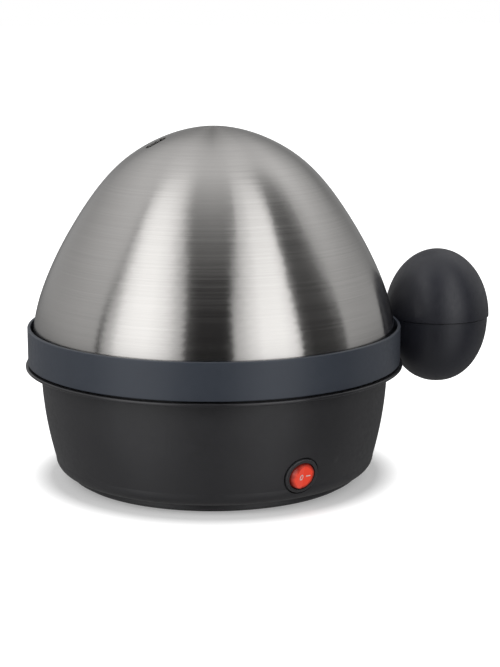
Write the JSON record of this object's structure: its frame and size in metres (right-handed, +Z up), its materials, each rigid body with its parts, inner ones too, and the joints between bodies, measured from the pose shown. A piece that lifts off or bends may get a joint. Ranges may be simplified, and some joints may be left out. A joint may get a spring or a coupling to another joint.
{
  "type": "egg boiler",
  "caption": "Round electric egg boiler with a heated water dish, lift-out egg tray, steel dome lid on a collar with an egg-shaped side handle, and a lit rocker switch.",
  "frame": {"origin": "centre of the base on the table plane", "axes": "+Z up, +X from the base's centre towards the egg-shaped handle; the rocker switch is on the -Y side"},
  "size_m": [0.2299, 0.1794, 0.1661],
  "materials": {
    "dome_steel": "brushed round the dome",
    "dish_steel": "satin",
    "zinc_steel": "zinc plated",
    "spreader_aluminium": "as cast",
    "element_sheath": "oxidised",
    "ceramic": "glazed",
    "contact_brass": "tinned or plain",
    "dark_phenolic": "moulded",
    "sleeving": "braided glass sleeve",
    "terminal_nylon": "moulded",
    "lamp_glass": "clear",
    "rocker_red": "translucent, lit",
    "mark_white": "inlaid",
    "bezel_plastic": "satin",
    "rubber_black": "matt",
    "seal_rubber": "matt silicone",
    "tray_plastic": "fine texture",
    "collar_plastic": "satin, fine texture",
    "handle_plastic": "satin, fine texture",
    "base_plastic": "satin, fine texture",
    "lead_brown": "silicone",
    "lead_blue": "silicone",
    "lead_green": "silicone"
  },
  "bodies": {
    "base": {"cover_screws": "zinc_steel", "heating_dish": "dish_steel", "dish_studs": "zinc_steel", "stud_nuts": "zinc_steel", "heat_spreader": "spreader_aluminium", "heating_element": "element_sheath", "element_beads": "ceramic", "element_tabs": "contact_brass", "support_spider": "zinc_steel", "spider_screws": "zinc_steel", "thermostat_body": "dark_phenolic", "thermostat_tabs": "contact_brass", "thermostat_bracket": "zinc_steel", "bracket_screws": "zinc_steel", "thermal_fuse": "zinc_steel", "fuse_sleeve": "sleeving", "fuse_clip": "zinc_steel", "bushing_nut": "base_plastic", "cord_clamp": "base_plastic", "clamp_screws": "zinc_steel", "terminal_block": "terminal_nylon", "terminal_inserts": "contact_brass", "terminal_screws": "zinc_steel", "spade_receptacles": "contact_brass", "earth_tag": "contact_brass", "rocker_pivot_pin": "zinc_steel", "switch_terminals": "contact_brass", "switch_housing": "bezel_plastic", "cord_bushing": "rubber_black", "dish_seal": "seal_rubber", "base_housing": "base_plastic", "bottom_cover": "base_plastic", "live_lead": "lead_brown", "switched_lead": "lead_brown", "fuse_lead": "lead_brown", "element_lead": "lead_brown", "neutral_lead": "lead_blue", "lamp_lead": "lead_blue", "earth_lead": "lead_green", "foot_1": "rubber_black", "foot_2": "rubber_black", "foot_3": "rubber_black", "foot_4": "rubber_black"},
    "tray": {"egg_tray": "tray_plastic"},
    "lid": {"lid_dome": "dome_steel", "lid_collar": "collar_plastic", "lid_clamp_ring": "zinc_steel", "collar_screws": "zinc_steel", "handle_upper_shell": "handle_plastic", "handle_lower_shell": "handle_plastic", "handle_screws": "zinc_steel"},
    "rocker": {"switch_rocker": "rocker_red", "rocker_marks": "mark_white", "switch_plunger": "terminal_nylon", "plunger_spring": "zinc_steel", "neon_lamp": "lamp_glass"},
    "contact_blade": {"switch_contact_blade": "contact_brass"}
  },
  "joints": [
    {"name": "tray_lift", "type": "slide", "parent": "base", "child": "tray", "axis": [0, 0, 1], "range_m": [0, 0.09]},
    {"name": "lid_lift", "type": "slide", "parent": "tray", "child": "lid", "axis": [0, 0, 1], "range_m": [0, 0.12]},
    {"name": "rocker_tilt", "type": "hinge", "parent": "base", "child": "rocker", "pos_m": [0.01849, -0.07417, 0.01695], "axis": [0.0557, -0.2232, 0.9732], "range_deg": [-24, 0]},
    {"name": "blade_tilt", "type": "hinge", "parent": "base", "child": "contact_blade", "pos_m": [0.01684, -0.06756, 0.01856], "axis": [0.0557, -0.2232, 0.9732], "range_deg": [0, 9.6]}
  ],
  "couplings": [
    {"joint": "blade_tilt", "follows": "rocker_tilt", "ratio": -0.4}
  ]
}
